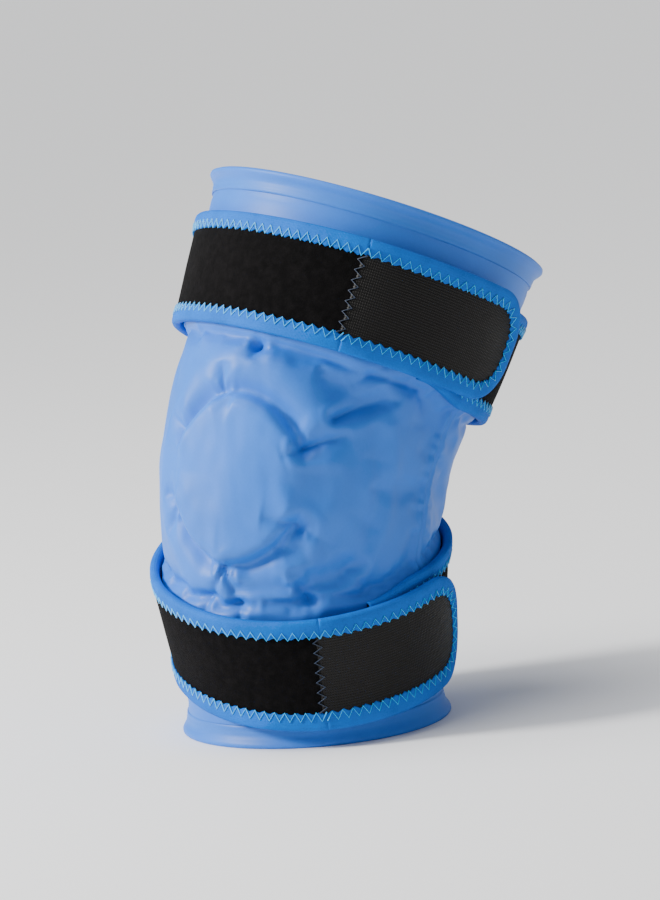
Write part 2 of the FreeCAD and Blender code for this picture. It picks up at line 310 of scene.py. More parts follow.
def add_object(name, data):
    added_object = bpy.data.objects.new(name, data)
    bpy.context.scene.collection.objects.link(added_object)
    return added_object


def shade_smooth(mesh):
    mesh.polygons.foreach_set("use_smooth", [True] * len(mesh.polygons))


def new_piece(name, points_mm, faces, material, uv=None):
    """A smooth-shaded object from points in millimetres, its faces turned outwards."""
    mesh = bpy.data.meshes.new(name)
    mesh.from_pydata((np.asarray(points_mm) * MM).tolist(), [], faces)
    shade_smooth(mesh)
    if uv is not None:
        layer = mesh.uv_layers.new(name="cloth")
        corners = np.empty(len(mesh.loops), int)
        mesh.loops.foreach_get("vertex_index", corners)
        layer.data.foreach_set("uv", np.asarray(uv, float)[corners].ravel())
    mesh.materials.append(material)
    mesh.validate()
    mesh.update()
    return add_object(name, mesh)


def grid_faces(rows, columns, start=0, flip=False):
    """Quads of a grid stored row by row."""
    i, j = np.meshgrid(np.arange(rows - 1), np.arange(columns - 1), indexing="ij")
    a = i * columns + j
    quads = np.stack([a, a + 1, a + columns + 1, a + columns], -1).reshape(-1, 4) + start
    return (quads[:, ::-1] if flip else quads).tolist()


def swept_tube(profile_rows):
    """Closed tube from a (stations, ring, 3) array of points: points and faces."""
    stations, ring = profile_rows.shape[:2]
    faces = []
    for k in range(ring):
        n = (k + 1) % ring
        for i in range(stations - 1):
            a, b = i * ring + k, i * ring + n
            faces.append((a, b, b + ring, a + ring))
    faces.append(tuple(range(ring))[::-1])
    faces.append(tuple((stations - 1) * ring + k for k in range(ring)))
    return profile_rows.reshape(-1, 3), faces


def outward_normals(piece):
    """Turns a closed piece's faces outwards."""
    work = bmesh.new()
    work.from_mesh(piece.data)
    bmesh.ops.recalc_face_normals(work, faces=work.faces)
    work.to_mesh(piece.data)
    work.free()
    piece.data.update()
    return piece


def applied(piece):
    """Turns the piece's live modifiers into plain mesh."""
    evaluated = piece.evaluated_get(bpy.context.evaluated_depsgraph_get())
    mesh = bpy.data.meshes.new_from_object(evaluated)
    piece.modifiers.clear()
    old, piece.data = piece.data, mesh
    mesh.name = piece.name
    bpy.data.meshes.remove(old)
    return piece


def value_noise(x, y, seed):
    """Smooth repeatable noise from -1 to 1 on two coordinates."""
    def corner(ix, iy):
        raw = np.sin(ix * 127.1 + iy * 311.7 + seed * 74.7) * 43758.5453
        return 2 * (raw - np.floor(raw)) - 1
    ix, iy = np.floor(x), np.floor(y)
    fx, fy = smooth(x - ix), smooth(y - iy)
    low = corner(ix, iy) * (1 - fx) + corner(ix + 1, iy) * fx
    high = corner(ix, iy + 1) * (1 - fx) + corner(ix + 1, iy + 1) * fx
    return low * (1 - fy) + high * fy


# ---- shader node groups and materials ------------------------------------------------------

def feed(tree, socket, value):
    """Links an output to a socket, or sets the socket to a plain value."""
    if isinstance(value, bpy.types.NodeSocket):
        tree.links.new(value, socket)
    else:
        socket.default_value = value


def node(tree, kind, inputs=None, **settings):
    """A new node with its settings made and its inputs fed."""
    made = tree.nodes.new(kind)
    for label, value in settings.items():
        setattr(made, label, value)
    for label, value in (inputs or {}).items():
        feed(tree, made.inputs[label], value)
    return made


def maths(tree, operation, *values):
    return node(tree, "ShaderNodeMath", dict(enumerate(values)), operation=operation).outputs[0]


def add_inputs(tree, inputs):
    for label, kind, default in inputs:
        socket = tree.interface.new_socket(label, in_out="INPUT", socket_type=kind)
        if default is not None:
            socket.default_value = default


def shader_group(name, inputs, outputs):
    """A shader node group with its input sockets and its output node."""
    group = bpy.data.node_groups.new(name, "ShaderNodeTree")
    add_inputs(group, inputs)
    for label, kind in outputs:
        group.interface.new_socket(label, in_out="OUTPUT", socket_type=kind)
    return group, group.nodes.new("NodeGroupInput").outputs, group.nodes.new("NodeGroupOutput")


def mottle_group():
    """Soft, slightly uneven tone: a broad noise with a finer one over it."""
    group, given, result = shader_group(
        "Soft Mottle",
        [("Vector", "NodeSocketVector", None), ("Broad", "NodeSocketFloat", 30.0),
         ("Fine", "NodeSocketFloat", 400.0), ("Fine Share", "NodeSocketFloat", 0.3)],
        [("Tone", "NodeSocketFloat")])
    broad, fine = (
        node(group, "ShaderNodeTexNoise",
             {"Vector": given["Vector"], "Scale": given[scale], "Detail": detail}).outputs["Fac"]
        for scale, detail in (("Broad", 3), ("Fine", 4)))
    mix = node(group, "ShaderNodeMix", {"Factor": given["Fine Share"], "A": broad, "B": fine})
    feed(group, result.inputs["Tone"], mix.outputs["Result"])
    return group


WANDER_SCALE = 160.0
GAP_BELOW = 0.12            # where both sets of ribs are this low, the cloth shows a gap


def weave_group():
    """Crossing threads: a height and a gap mask from two sets of ribs on the cloth's UV map."""
    group, given, result = shader_group(
        "Cloth Weave",
        [("Vector", "NodeSocketVector", None), ("Along", "NodeSocketFloat", 900.0),
         ("Across", "NodeSocketFloat", 900.0), ("Wander", "NodeSocketFloat", 0.15)],
        [("Height", "NodeSocketFloat"), ("Gap", "NodeSocketFloat")])
    noise = node(group, "ShaderNodeTexNoise", {"Vector": given["Vector"], "Scale": WANDER_SCALE})
    drift = maths(group, "MULTIPLY", maths(group, "SUBTRACT", noise.outputs["Fac"], 0.5),
                  given["Wander"])
    split = node(group, "ShaderNodeSeparateXYZ", {0: given["Vector"]})
    ribs = []
    for axis, scale in (("X", "Along"), ("Y", "Across")):
        turns = maths(group, "ADD", maths(group, "MULTIPLY", split.outputs[axis], given[scale]), drift)
        wave = maths(group, "SINE", maths(group, "MULTIPLY", turns, 2 * math.pi))
        ribs.append(maths(group, "MULTIPLY_ADD", wave, 0.5, 0.5))
    product = maths(group, "MULTIPLY", *ribs)
    feed(group, result.inputs["Height"], product)
    feed(group, result.inputs["Gap"], maths(group, "LESS_THAN", product, GAP_BELOW))
    return group


def use_group(tree, group, **values):
    inputs = {label.replace("_", " "): value for label, value in values.items()}
    return node(tree, "ShaderNodeGroup", inputs, node_tree=group).outputs


def tone_of(tree, mottle, vector, broad, fine, fine_share):
    """The mottle's tone over a surface."""
    return use_group(tree, mottle, Vector=vector, Broad=broad, Fine=fine, Fine_Share=fine_share)[0]


def new_material(name, **constants):
    material = bpy.data.materials.new(name)
    material.use_nodes = True
    shader = material.node_tree.nodes["Principled BSDF"]
    for label, value in constants.items():
        shader.inputs[label.replace("_", " ")].default_value = value
    return material.node_tree, shader


def shade(colour, factor):
    return tuple(min(1.0, c * factor) for c in colour)


def coloured(tree, shader, factor, dark, light, low=0.3, high=0.7):
    """Colours a shader between two colours as a factor goes from low to high."""
    ramp = node(tree, "ShaderNodeValToRGB", {"Fac": factor})
    for element, place, colour in zip(ramp.color_ramp.elements, (low, high), (dark, light)):
        element.position = place
        element.color = (*colour, 1)
    feed(tree, shader.inputs["Base Color"], ramp.outputs["Color"])


def roughened(tree, shader, tone, low, high):
    """Lets the tone carry a shader's roughness from low to high."""
    spread = node(tree, "ShaderNodeMapRange", {"Value": tone, "To Min": low, "To Max": high})
    feed(tree, shader.inputs["Roughness"], spread.outputs["Result"])


def bump(tree, shader, height, strength, distance):
    raised = node(tree, "ShaderNodeBump", {"Height": height, "Strength": strength, "Distance": distance})
    feed(tree, shader.inputs["Normal"], raised.outputs["Normal"])


def place_of(tree):
    return tree.nodes.new("ShaderNodeTexCoord").outputs["Object"]


def cloth_of(tree):
    return node(tree, "ShaderNodeUVMap", uv_map="cloth").outputs["UV"]


def film_material(mottle, colour):
    tree, shader = new_material(
        "Gel Pack Film", IOR=1.47, Subsurface_Weight=0.12, Subsurface_Scale=0.004,
        Subsurface_Radius=(0.4, 0.8, 1.0), Coat_Weight=0.06, Coat_Roughness=0.4,
        Specular_IOR_Level=0.34)
    tone = tone_of(tree, mottle, place_of(tree), 26.0, 900.0, 0.25)
    coloured(tree, shader, tone, shade(colour, 0.9), shade(colour, 1.1))
    roughened(tree, shader, tone, 0.42, 0.6)
    bump(tree, shader, tone, 0.25, 0.0002)


def lining_material(mottle, colour):
    tree, shader = new_material(
        "Brushed Lining", Roughness=0.95, Sheen_Weight=0.5, Sheen_Roughness=0.5,
        Sheen_Tint=(0.6, 0.75, 1.0, 1), Specular_IOR_Level=0.2)
    tone = tone_of(tree, mottle, place_of(tree), 120.0, 2600.0, 0.6)
    coloured(tree, shader, tone, shade(colour, 0.75), shade(colour, 1.25))
    bump(tree, shader, tone, 0.6, 0.0008)


def tape_material(mottle, weave, colour):
    tree, shader = new_material("Edge Tape", Roughness=0.72, Sheen_Weight=0.0, Specular_IOR_Level=0.12)
    tone = tone_of(tree, mottle, place_of(tree), 90.0, 1400.0, 0.5)
    ribs = use_group(tree, weave, Vector=cloth_of(tree), Along=1500.0, Across=900.0, Wander=0.4)
    coloured(tree, shader, tone, shade(colour, 0.78), shade(colour, 1.2))
    bump(tree, shader, maths(tree, "ADD", ribs["Height"], tone), 0.35, 0.0003)


def loop_material(mottle, colour):
    tree, shader = new_material(
        "Loop Fabric", Roughness=0.93, Sheen_Weight=0.02, Sheen_Roughness=0.35,
        Sheen_Tint=(0.75, 0.72, 0.78, 1), Specular_IOR_Level=0.08)
    tone = tone_of(tree, mottle, place_of(tree), 260.0, 3000.0, 0.55)
    # The fuzz's tone varies at random. Its lightest specks are painted highlight, standing for fibres that
    # catch the light.
    coloured(tree, shader, tone, shade(colour, 0.5), shade(colour, 4.5), 0.42, 0.75)
    bump(tree, shader, tone, 0.8, 0.0007)


def mesh_material(mottle, weave, colour):
    tree, shader = new_material("Tab Mesh", Sheen_Weight=0.01, Sheen_Roughness=0.3, Specular_IOR_Level=0.22)
    cloth = cloth_of(tree)
    threads = use_group(tree, weave, Vector=cloth, Along=880.0, Across=760.0, Wander=0.25)["Height"]
    tone = tone_of(tree, mottle, cloth, 40.0, 500.0, 0.3)
    # The weave's height sets the colour: the threads' tops are painted lighter as painted highlight, and
    # the gaps between them darker as painted shade.
    coloured(tree, shader, threads, shade(colour, 0.35), shade(colour, 2.2), 0.1, 0.8)
    roughened(tree, shader, tone, 0.36, 0.62)
    bump(tree, shader, threads, 0.7, 0.0004)


def thread_material(name, mottle, colour):
    tree, shader = new_material(
        name, Roughness=0.5, Sheen_Weight=0.3, Sheen_Roughness=0.3, Specular_IOR_Level=0.4)
    tone = tone_of(tree, mottle, place_of(tree), 300.0, 2500.0, 0.5)
    coloured(tree, shader, tone, shade(colour, 0.8), shade(colour, 1.25))
    bump(tree, shader, tone, 0.4, 0.0002)


def hook_material(mottle):
    tree, shader = new_material("Hook Plastic", Specular_IOR_Level=0.45)
    tone = tone_of(tree, mottle, place_of(tree), 150.0, 1500.0, 0.4)
    coloured(tree, shader, tone, (0.008, 0.008, 0.009), (0.02, 0.02, 0.022))
    roughened(tree, shader, tone, 0.4, 0.6)
    bump(tree, shader, tone, 0.3, 0.0002)


def materials():
    """All finishes, made once and found again by name."""
    if "Gel Pack Film" in bpy.data.materials:
        return bpy.data.materials
    finish = bpy.context.scene.cold_wrap_finish
    mottle, weave = mottle_group(), weave_group()
    film = tuple(finish.film_colour)
    film_material(mottle, film)
    lining_material(mottle, film)
    tape_material(mottle, weave, tuple(finish.tape_colour))
    loop_material(mottle, tuple(finish.loop_colour))
    mesh_material(mottle, weave, tuple(finish.mesh_colour))
    thread_material("Tape Thread", mottle, tuple(finish.thread_colour))
    thread_material("Seam Thread", mottle, tuple(finish.seam_colour))
    hook_material(mottle)
    return bpy.data.materials


# ---- the gel pack --------------------------------------------------------------------------

def strap_heights(s, phi_deg):
    """Height of each place above the lower strap's mid plane and the upper one's."""
    place = pack_point(s, phi_deg, 0.0)
    heights = []
    for strap in (LOWER, UPPER):
        turn = np.where(phi_deg < STRAP_START_DEG, phi_deg + 360, phi_deg)
        heights.append((place - strap.middle) @ strap.normal - strap.shift(turn))
    return heights


def knee_plane(s, phi_deg):
    """Millimetres across and along the front of the pack from the kneecap's centre."""
    def front_length(s):
        return s + FRONT_STRETCH * np.clip(s - SHIN_LENGTH, 0, ARC_LENGTH)
    return (phi_deg - KNEE_DEG) * math.radians(FRONT_RADIUS), front_length(s) - front_length(KNEE_S)


def knee_place(s, phi_deg):
    """Distance from the kneecap's centre and the angle clockwise from the top."""
    across, along = knee_plane(s, phi_deg)
    return np.hypot(across, along), np.degrees(np.arctan2(across, along)) % 360


def on_arc(distance, angle, radius, start, end, width):
    """A soft mask along one arc round the kneecap's centre."""
    away = np.abs((angle - (start + end) / 2 + 180) % 360 - 180) - (end - start) / 2
    reach = np.hypot(distance - radius, np.maximum(0, away) * math.radians(radius))
    return np.exp(-(reach / width) ** 2)


def on_ring(distance, angle, width):
    """How firmly each place is held by the ring's welded arcs."""
    return np.maximum.reduce([on_arc(distance, angle, KNEE_RING, start, end, width)
                              for start, end in RING_ARCS])


# Offsets of the film before it swells, from the pack's outer face.
FRONT_OFFSET = -3.6
BACK_OFFSET = -3.0
SEAM_OFFSET = -2.2
EDGE_OFFSET = -4.5
STRAP_OFFSET = 0.4


def blended(value, other, share):
    return value * (1 - share) + other * share


def film_start(s, phi_deg):
    """Offset of the film before it swells, and how firmly the welds and straps hold it."""
    low, high = strap_heights(s, phi_deg)
    half = STRAP_WIDTH / 2
    under = np.maximum(smooth((half + 4 - low) / 7), smooth((high + half + 4) / 7))
    front = np.abs(phi_deg) < SIDE_SEAM_DEG
    seam = np.exp(-((np.abs(phi_deg) - SIDE_SEAM_DEG) * 1.25 / 3.0) ** 2)
    edge = smooth((np.abs(phi_deg) - 165) / 8)
    offset = np.where(front, FRONT_OFFSET, BACK_OFFSET)
    for other, share in ((SEAM_OFFSET, seam), (EDGE_OFFSET, edge), (STRAP_OFFSET, under)):
        offset = blended(offset, other, share)
    held = np.maximum.reduce([smooth((under - 0.6) / 0.35), smooth((seam - 0.45) / 0.4), edge])
    return offset, held


SWELL_FRAMES = 30
CLOTH = {"quality": 6, "mass": 0.25, "tension_stiffness": 15, "compression_stiffness": 15,
         "shear_stiffness": 6, "bending_stiffness": 4.0, "air_damping": 3}


def swollen(points, faces, held, pack):
    """Lets the gel's pressure swell the film between its welds, as a cloth."""
    film = new_piece("film_being_swollen", points, faces, bpy.data.materials["Gel Pack Film"])
    group = film.vertex_groups.new(name="held")
    for i in np.flatnonzero(held > 0.01):
        group.add([int(i)], float(held[i]), "REPLACE")
    cloth = film.modifiers.new("swell", "CLOTH")
    settings = cloth.settings
    for label, value in CLOTH.items():
        setattr(settings, label, value)
    settings.vertex_group_mass = "held"
    settings.shrink_min = -pack.slack
    settings.use_pressure = True
    settings.uniform_pressure_force = pack.swell
    settings.effector_weights.gravity = 0
    cloth.collision_settings.use_self_collision = False
    scene = bpy.context.scene
    for number in range(1, SWELL_FRAMES + 1):
        scene.frame_set(number)
    evaluated = film.evaluated_get(bpy.context.evaluated_depsgraph_get())
    moved = np.empty(len(points) * 3)
    evaluated.data.vertices.foreach_get("co", moved)
    moved = moved.reshape(-1, 3) / MM
    scene.frame_set(1)
    bpy.data.objects.remove(film)
    step = moved - points
    length = np.linalg.norm(step, axis=1, keepdims=True)
    limit = pack.swell_limit / MM
    return step * (limit * np.tanh(length / limit) / np.maximum(length, 1e-6))


def cubic_weights(places, count):
    """Weights that read an evenly spaced row of values between 0 and 1 at new places."""
    place = np.asarray(places) * (count - 1)
    i = np.clip(np.floor(place).astype(int), 0, count - 2)
    t = place - i
    shares = (-t * (1 - t) ** 2 / 2, (2 - 5 * t ** 2 + 3 * t ** 3) / 2,
              (t + 4 * t ** 2 - 3 * t ** 3) / 2, -t ** 2 * (1 - t) / 2)
    weights = np.zeros((len(place), count))
    for k, share in zip((-1, 0, 1, 2), shares):
        np.add.at(weights, (np.arange(len(place)), np.clip(i + k, 0, count - 1)), share)
    return weights


def graded(start, end, fine_from, fine_to, fine, coarse):
    """Places from start to end, close together in the stretch that shows the folds."""
    parts = []
    stretches = ((start, fine_from, coarse), (fine_from, fine_to, fine), (fine_to, end, coarse))
    for low, high, step in stretches:
        parts.append(np.linspace(low, high, max(2, round((high - low) / step)), endpoint=False))
    return np.append(np.concatenate(parts), end)


def crease(across, along, start, end, depth, width):
    """Depth of a pinched fold that fades from its start, and the height of its lips, in mm."""
    start, end = np.array(start, float), np.array(end, float)
    run = end - start
    t = ((across - start[0]) * run[0] + (along - start[1]) * run[1]) / float(run @ run)
    t = np.clip(t, 0, 1)
    away = np.hypot(across - start[0] - run[0] * t, along - start[1] - run[1] * t)
    spread = width * (1 + 1.1 * t)
    valley = 1.25 * depth * (1 - t) ** 0.6 * np.exp(-(away / spread) ** 1.15)
    lips = 0.3 * depth * (1 - t) * np.exp(-((away - 2.3 * spread) / (1.2 * spread)) ** 2)
    return valley, lips


# Pinched folds where the welds end: start and end, across and along from the knee's centre,
# then depth and width.
FOLDS = [
    ((-16, 40), (-19, 54), 4.4, 2.3),
    ((-15, 39), (-4, 36), 3.0, 2.8),
    ((39, 20), (62, 34), 6.2, 3.4),
    ((39, 20), (28, 14), 4.0, 2.8),
    ((39, 21), (33, 34), 3.0, 4.0),
    ((52, 40), (76, 60), 4.6, 3.0),
    ((41, -20), (20, -17), 4.8, 3.2),
    ((42, -22), (30, -37), 5.2, 4.4),
    ((44, -22), (62, -32), 2.8, 4.4),
    ((-7, -44), (5, -46), 5.4, 2.3),
    ((-6, -44), (-19, -38), 4.0, 2.5),
    ((-5, -46), (3, -62), 4.2, 2.3),
    ((-6, -46), (-17, -62), 3.2, 2.3),
    ((-42, -14), (-54, -10), 4.4, 2.5),
    ((-42, -16), (-50, -30), 3.6, 2.5),
    ((-40, 18), (-54, 27), 4.0, 2.7),
    ((3, -70), (1, -58), 5.4, 2.3),
    ((46, -66), (39, -50), 4.8, 2.7),
    ((-22, -67), (-17, -56), 3.6, 2.3),
    ((0, 69), (-2, 58), 4.8, 2.5),
    ((66, 74), (54, 60), 3.8, 2.9),
]


DOME_HEIGHT = 3.8
SIDE_RIDGES = ((SIDE_SEAM_DEG - 1.6, 1.3), (SIDE_SEAM_DEG + 1.4, 1.5))      # angle, height
# Grooves beside the rims: distance from the edge, depth, width.
TOP_GROOVES = ((12.5, 0.5, 0.9), (15.5, 0.35, 0.8), (22, 0.4, 1.1), (29, 0.3, 1.2))
BOTTOM_GROOVES = ((11.5, 0.5, 0.9), (14.5, 0.3, 0.9))
# The curved fold beside the knee: distance from its centre, width, height.
CURVED_FOLD = ((84, 5.0, -1.3), (93, 4.5, 0.9))
CURVED_FOLD_TURN = (62, 128)


def film_relief(s, phi_deg, weld_depth):
    """Fine shape of the film after it has swollen: folds, side ridge, rim grooves, ripples."""
    across, along = knee_plane(s, phi_deg)
    low, high = strap_heights(s, phi_deg)
    half = STRAP_WIDTH / 2
    free = smooth((low - half) / 4) * smooth((-half - high) / 4)
    distance, angle = knee_place(s, phi_deg)
    ring = on_ring(distance, angle, np.where(distance > KNEE_RING, 5.6, 2.8))
    ring_side = on_ring(np.minimum(distance, KNEE_RING), angle, 16.0)
    dome = DOME_HEIGHT * smooth((KNEE_RING + 1.5 - distance) / 10) * (0.35 + 0.65 * ring_side)
    relief = dome + 1.6 * np.exp(-((distance - KNEE_RING - 15) / 8) ** 2) * free
    valley, lips = weld_depth * ring, np.zeros_like(s)
    for start, end, depth, width in FOLDS:
        fold, lip = crease(across, along, start, end, depth, width)
        valley, lips = np.maximum(valley, fold), np.maximum(lips, lip)
    relief += (lips - valley) * np.maximum(free, 0.3)
    relief += 0.5 * value_noise(across / 17, along / 21, 3) * free
    relief += 0.22 * value_noise(across / 6 + along / 30, along / 9, 8) * free
    for radius, width, height in CURVED_FOLD:
        relief += height * on_arc(distance, angle, radius, *CURVED_FOLD_TURN, width) * free
    for turn, height in SIDE_RIDGES:
        ridge = np.exp(-((np.abs(phi_deg) - turn) / 0.7) ** 2)
        relief += height * ridge * smooth((s - 14) / 10) * smooth((TOTAL_LENGTH - 26 - s) / 10)
    for from_edge, grooves in ((TOTAL_LENGTH - s, TOP_GROOVES), (s, BOTTOM_GROOVES)):
        for place, depth, width in grooves:
            relief -= depth * np.exp(-((from_edge - place) / width) ** 2)
    return relief


def pack_normals(s, phi_deg):
    step = 0.5
    down = pack_point(s + step, phi_deg, 0.0) - pack_point(s - step, phi_deg, 0.0)
    round_leg = pack_point(s, phi_deg + step, 0.0) - pack_point(s, phi_deg - step, 0.0)
    normal = np.cross(round_leg, down)
    return normal / np.linalg.norm(normal, axis=-1, keepdims=True)


PACK_MARGIN = 1.3           # the pack stops short of the rims, which fold over its edges
LINING_GRID = (90, 150)
RIM_STATIONS = 260
FINE_LENGTH = (66, 192, 1.05, 2.2)      # the stretch with folds, then fine and coarse spacing
FINE_TURN = (-76, 102, 0.75, 2.0)


def gel_pack():
    pack = bpy.context.scene.cold_wrap_pack
    spacing = pack.film_spacing / MM
    rows = round(TOTAL_LENGTH / spacing)
    columns = round(2 * BACK_EDGE_DEG * math.radians(MEAN_RADIUS) / spacing)
    s, phi = np.meshgrid(np.linspace(PACK_MARGIN, TOTAL_LENGTH - PACK_MARGIN, rows),
                         np.linspace(-BACK_EDGE_DEG, BACK_EDGE_DEG, columns), indexing="ij")
    s, phi = s.ravel(), phi.ravel()
    offset, held = film_start(s, phi)
    normals = pack_normals(s, phi)
    start = pack_point(s, phi, 0.0) + normals * offset[:, None]
    moved = swollen(start, grid_faces(rows, columns), held, pack)
    s_places = graded(PACK_MARGIN, TOTAL_LENGTH - PACK_MARGIN, *FINE_LENGTH)
    phi_places = graded(-BACK_EDGE_DEG, BACK_EDGE_DEG, *FINE_TURN)
    fine_rows, fine_columns = len(s_places), len(phi_places)
    field = (moved + normals * offset[:, None]).reshape(rows, columns, 3)
    along = cubic_weights((s_places - PACK_MARGIN) / (TOTAL_LENGTH - 2 * PACK_MARGIN), rows)
    round_leg = cubic_weights((phi_places + BACK_EDGE_DEG) / (2 * BACK_EDGE_DEG), columns)
    shift = np.einsum("ai,ijk,bj->abk", along, field, round_leg, optimize=True)
    s, phi = np.meshgrid(s_places, phi_places, indexing="ij")
    s, phi = s.ravel(), phi.ravel()
    outer = pack_point(s, phi, 0.0) + shift.reshape(-1, 3)
    outer = outer + pack_normals(s, phi) * film_relief(s, phi, pack.weld_depth / MM)[:, None]
    depth = lining_offset(s) + 0.1
    inner = pack_point(s, phi, depth)
    count = fine_rows * fine_columns
    faces = grid_faces(fine_rows, fine_columns)
    faces += grid_faces(fine_rows, fine_columns, start=count, flip=True)
    faces += rim_faces(fine_rows, fine_columns, count)
    uv = np.column_stack([phi, s]) * MM
    piece = new_piece("gel_pack", np.vstack([outer, inner]), faces,
                      materials()["Gel Pack Film"], np.vstack([uv, uv]))
    outward_normals(piece)
    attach(piece, "pack")
    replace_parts(piece, "outer_film", "kneecap_gel", "front_gel", "left_side_gel", "right_side_gel")


def rim_faces(rows, columns, count):
    """Quads that close the pack between its outer and inner grids, all round the border."""
    border = [(0, j) for j in range(columns)]
    border += [(i, columns - 1) for i in range(1, rows)]
    border += [(rows - 1, j) for j in range(columns - 2, -1, -1)]
    border += [(i, 0) for i in range(rows - 2, 0, -1)]
    ring = [i * columns + j for i, j in border]
    return [(a, a + count, b + count, b) for a, b in zip(ring, ring[1:] + ring[:1])]


def lining():
    """The brushed lining against the skin, a thin closed sheet inside the gel pack."""
    rows, columns = LINING_GRID
    s, phi = np.meshgrid(np.linspace(PACK_MARGIN, TOTAL_LENGTH - PACK_MARGIN, rows),
                         np.linspace(-BACK_EDGE_DEG, BACK_EDGE_DEG, columns), indexing="ij")
    s, phi = s.ravel(), phi.ravel()
    away = smooth((s - 20) / 20) * smooth((TOTAL_LENGTH - 20 - s) / 20)
    dimple = 0.35 * value_noise(phi / 6, s / 9, 21) * away
    faces = grid_faces(rows, columns) + grid_faces(rows, columns, rows * columns, True)
    faces += rim_faces(rows, columns, rows * columns)
    points = np.vstack([pack_point(s, phi, lining_offset(s) - 0.15),
                        pack_point(s, phi, lining_offset(s) - LINING + dimple)])
    uv = np.column_stack([phi, s]) * MM
    piece = new_piece("skin_lining", points, faces, materials()["Brushed Lining"], np.vstack([uv, uv]))
    outward_normals(piece)
    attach(piece, "pack")
    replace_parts(piece, "inner_lining")


# Section of a rim: distance in from the edge, and offset from the pack's outer face.
RIM_SECTION = [
    (11.0, 0.15), (10.7, 0.7), (9.4, 0.85), (8.6, 0.6), (7.8, 0.9), (6.6, 0.85), (5.2, 1.2),
    (3.9, 2.1), (2.8, 3.1), (1.7, 3.7), (0.7, 3.5), (0.1, 2.4), (0.0, 0.6), (0.1, -1.6),
    (0.7, -3.2), (2.0, -4.1), (4.4, -4.2), (4.8, -3.8), (2.2, -3.6), (1.1, -3.0), (0.9, -0.2),
    (1.2, 0.25), (6.0, 0.35)]


def rim(name, from_top):
    """A welted rim that folds over the pack's edge, open behind the knee."""
    phi = np.linspace(-BACK_EDGE_DEG - 0.4, BACK_EDGE_DEG + 0.4, RIM_STATIONS)
    section = np.array(RIM_SECTION)
    s = TOTAL_LENGTH - section[:, 0] if from_top else section[:, 0]
    wobble = 0.16 * value_noise(phi / 14, phi * 0, 5)[:, None] * (section[:, 0] > 3)
    scale = 1.0 if from_top else 0.62
    offset = np.where(section[:, 1] > 0.4, 0.4 + (section[:, 1] - 0.4) * scale, section[:, 1])
    points = pack_point(s[None, :], phi[:, None], offset[None, :] + wobble)
    flat, faces = swept_tube(points)
    uv = np.column_stack([np.repeat(phi, len(s)), np.tile(s, len(phi))]) * MM
    piece = new_piece(name, flat, faces, materials()["Gel Pack Film"], uv)
    outward_normals(piece)
    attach(piece, "pack")
    return piece


# ---- the straps ----------------------------------------------------------------------------

def tab_outline(strap, inset, step):
    """The tab's outline from the seam, round its end and back: places and inward directions."""
    length, half = strap.tip(), STRAP_WIDTH / 2
    corner = TAB_CORNER
    places, inwards = [], []

    def add(u, h, du, dh):
        places.append((u + du * inset, h + dh * inset))
        inwards.append((du, dh))

    def add_corner(from_deg, to_deg, centre):
        for turn in np.linspace(from_deg, to_deg, max(3, round(corner * 1.57 / step)), endpoint=False):
            c, d = math.cos(math.radians(turn)), math.sin(math.radians(turn))
            add(length - corner + corner * c, centre + corner * d, -c, -d)

    straight = max(2, round((length - corner) / step))
    end = max(2, round((2 * half - 2 * corner) / step))
    for u in np.linspace(0, length - corner, straight, endpoint=False):
        add(u, -half, 0, 1)
    add_corner(-90, 0, corner - half)
    for h in np.linspace(-half + corner, half - corner, end, endpoint=False):
        add(length, h, -1, 0)
    add_corner(0, 90, half - corner)
    for u in np.linspace(length - corner, 0, straight):
        add(u, half, 0, -1)
    return np.array(places), np.array(inwards)


def edge_line(strap, side, step):
    """One long edge of the strap, from its start to the tab's seam."""
    count = round(-strap.start() / step)
    u = np.linspace(strap.start(), 0, count)
    places = np.column_stack([u, np.full(count, side * STRAP_WIDTH / 2)])
    return places, np.tile([0.0, -float(side)], (count, 1))


# Section of the edge tape: distance in from the edge, offset from the core's inner face.
TAPE_SECTION = [
    (1.0, -0.1), (8.5, -0.2), (8.5, -0.7), (6.4, -0.85), (3.0, -0.95), (1.0, -0.9), (0.15, -0.2),
    (-0.15, 1.3), (0.1, 2.9), (0.9, 3.55), (2.6, 3.85), (4.6, 3.75), (6.4, 3.55), (7.8, 3.5),
    (8.5, 3.2), (8.5, 2.75), (1.0, 2.7), (0.75, 1.3)]
TAPE_STEP = 1.3


def tape_piece(strap, name, places, inwards):
    """Folded tape along an edge, pinched where each stitch crosses it."""
    settings = bpy.context.scene.cold_wrap_strap
    run = np.concatenate([[0], np.cumsum(np.linalg.norm(np.diff(places, axis=0), axis=1))])
    phase = run / (settings.stitch_pitch / MM)
    tooth = 2 * np.abs(2 * (phase - np.floor(phase + 0.5))) - 1
    wander = value_noise(run / 26, run * 0, 11)
    section = np.array(TAPE_SECTION)
    width = settings.tape_width / MM / section[:, 0].max()
    inward = section[None, :, 0] * width + np.zeros((len(run), 1))
    lip = (section[:, 0] > 7) * (section[:, 1] > 2)
    inward = inward + lip[None, :] * 0.8 * tooth[:, None]
    inward = inward + 0.25 * wander[:, None] * (section[None, :, 0] > 2)
    face = (section[:, 1] > 3) * (section[:, 0] > 3)
    offset = section[None, :, 1] - face[None, :] * 0.16 * (1 - tooth[:, None]) / 2
    offset = offset + 0.12 * value_noise(run / 5, run * 0, 4)[:, None] * face[None, :]
    u = places[:, 0:1] + inwards[:, 0:1] * inward
    h = places[:, 1:2] + inwards[:, 1:2] * inward
    points, faces = swept_tube(strap.at(u, h, offset))
    ring = np.concatenate([[0], np.cumsum(np.linalg.norm(np.diff(section, axis=0), axis=1))])
    uv = np.column_stack([np.repeat(run, len(section)), np.tile(ring, len(run))]) * MM
    piece = new_piece(name, points, faces, materials()["Edge Tape"], uv)
    outward_normals(piece)
    return piece


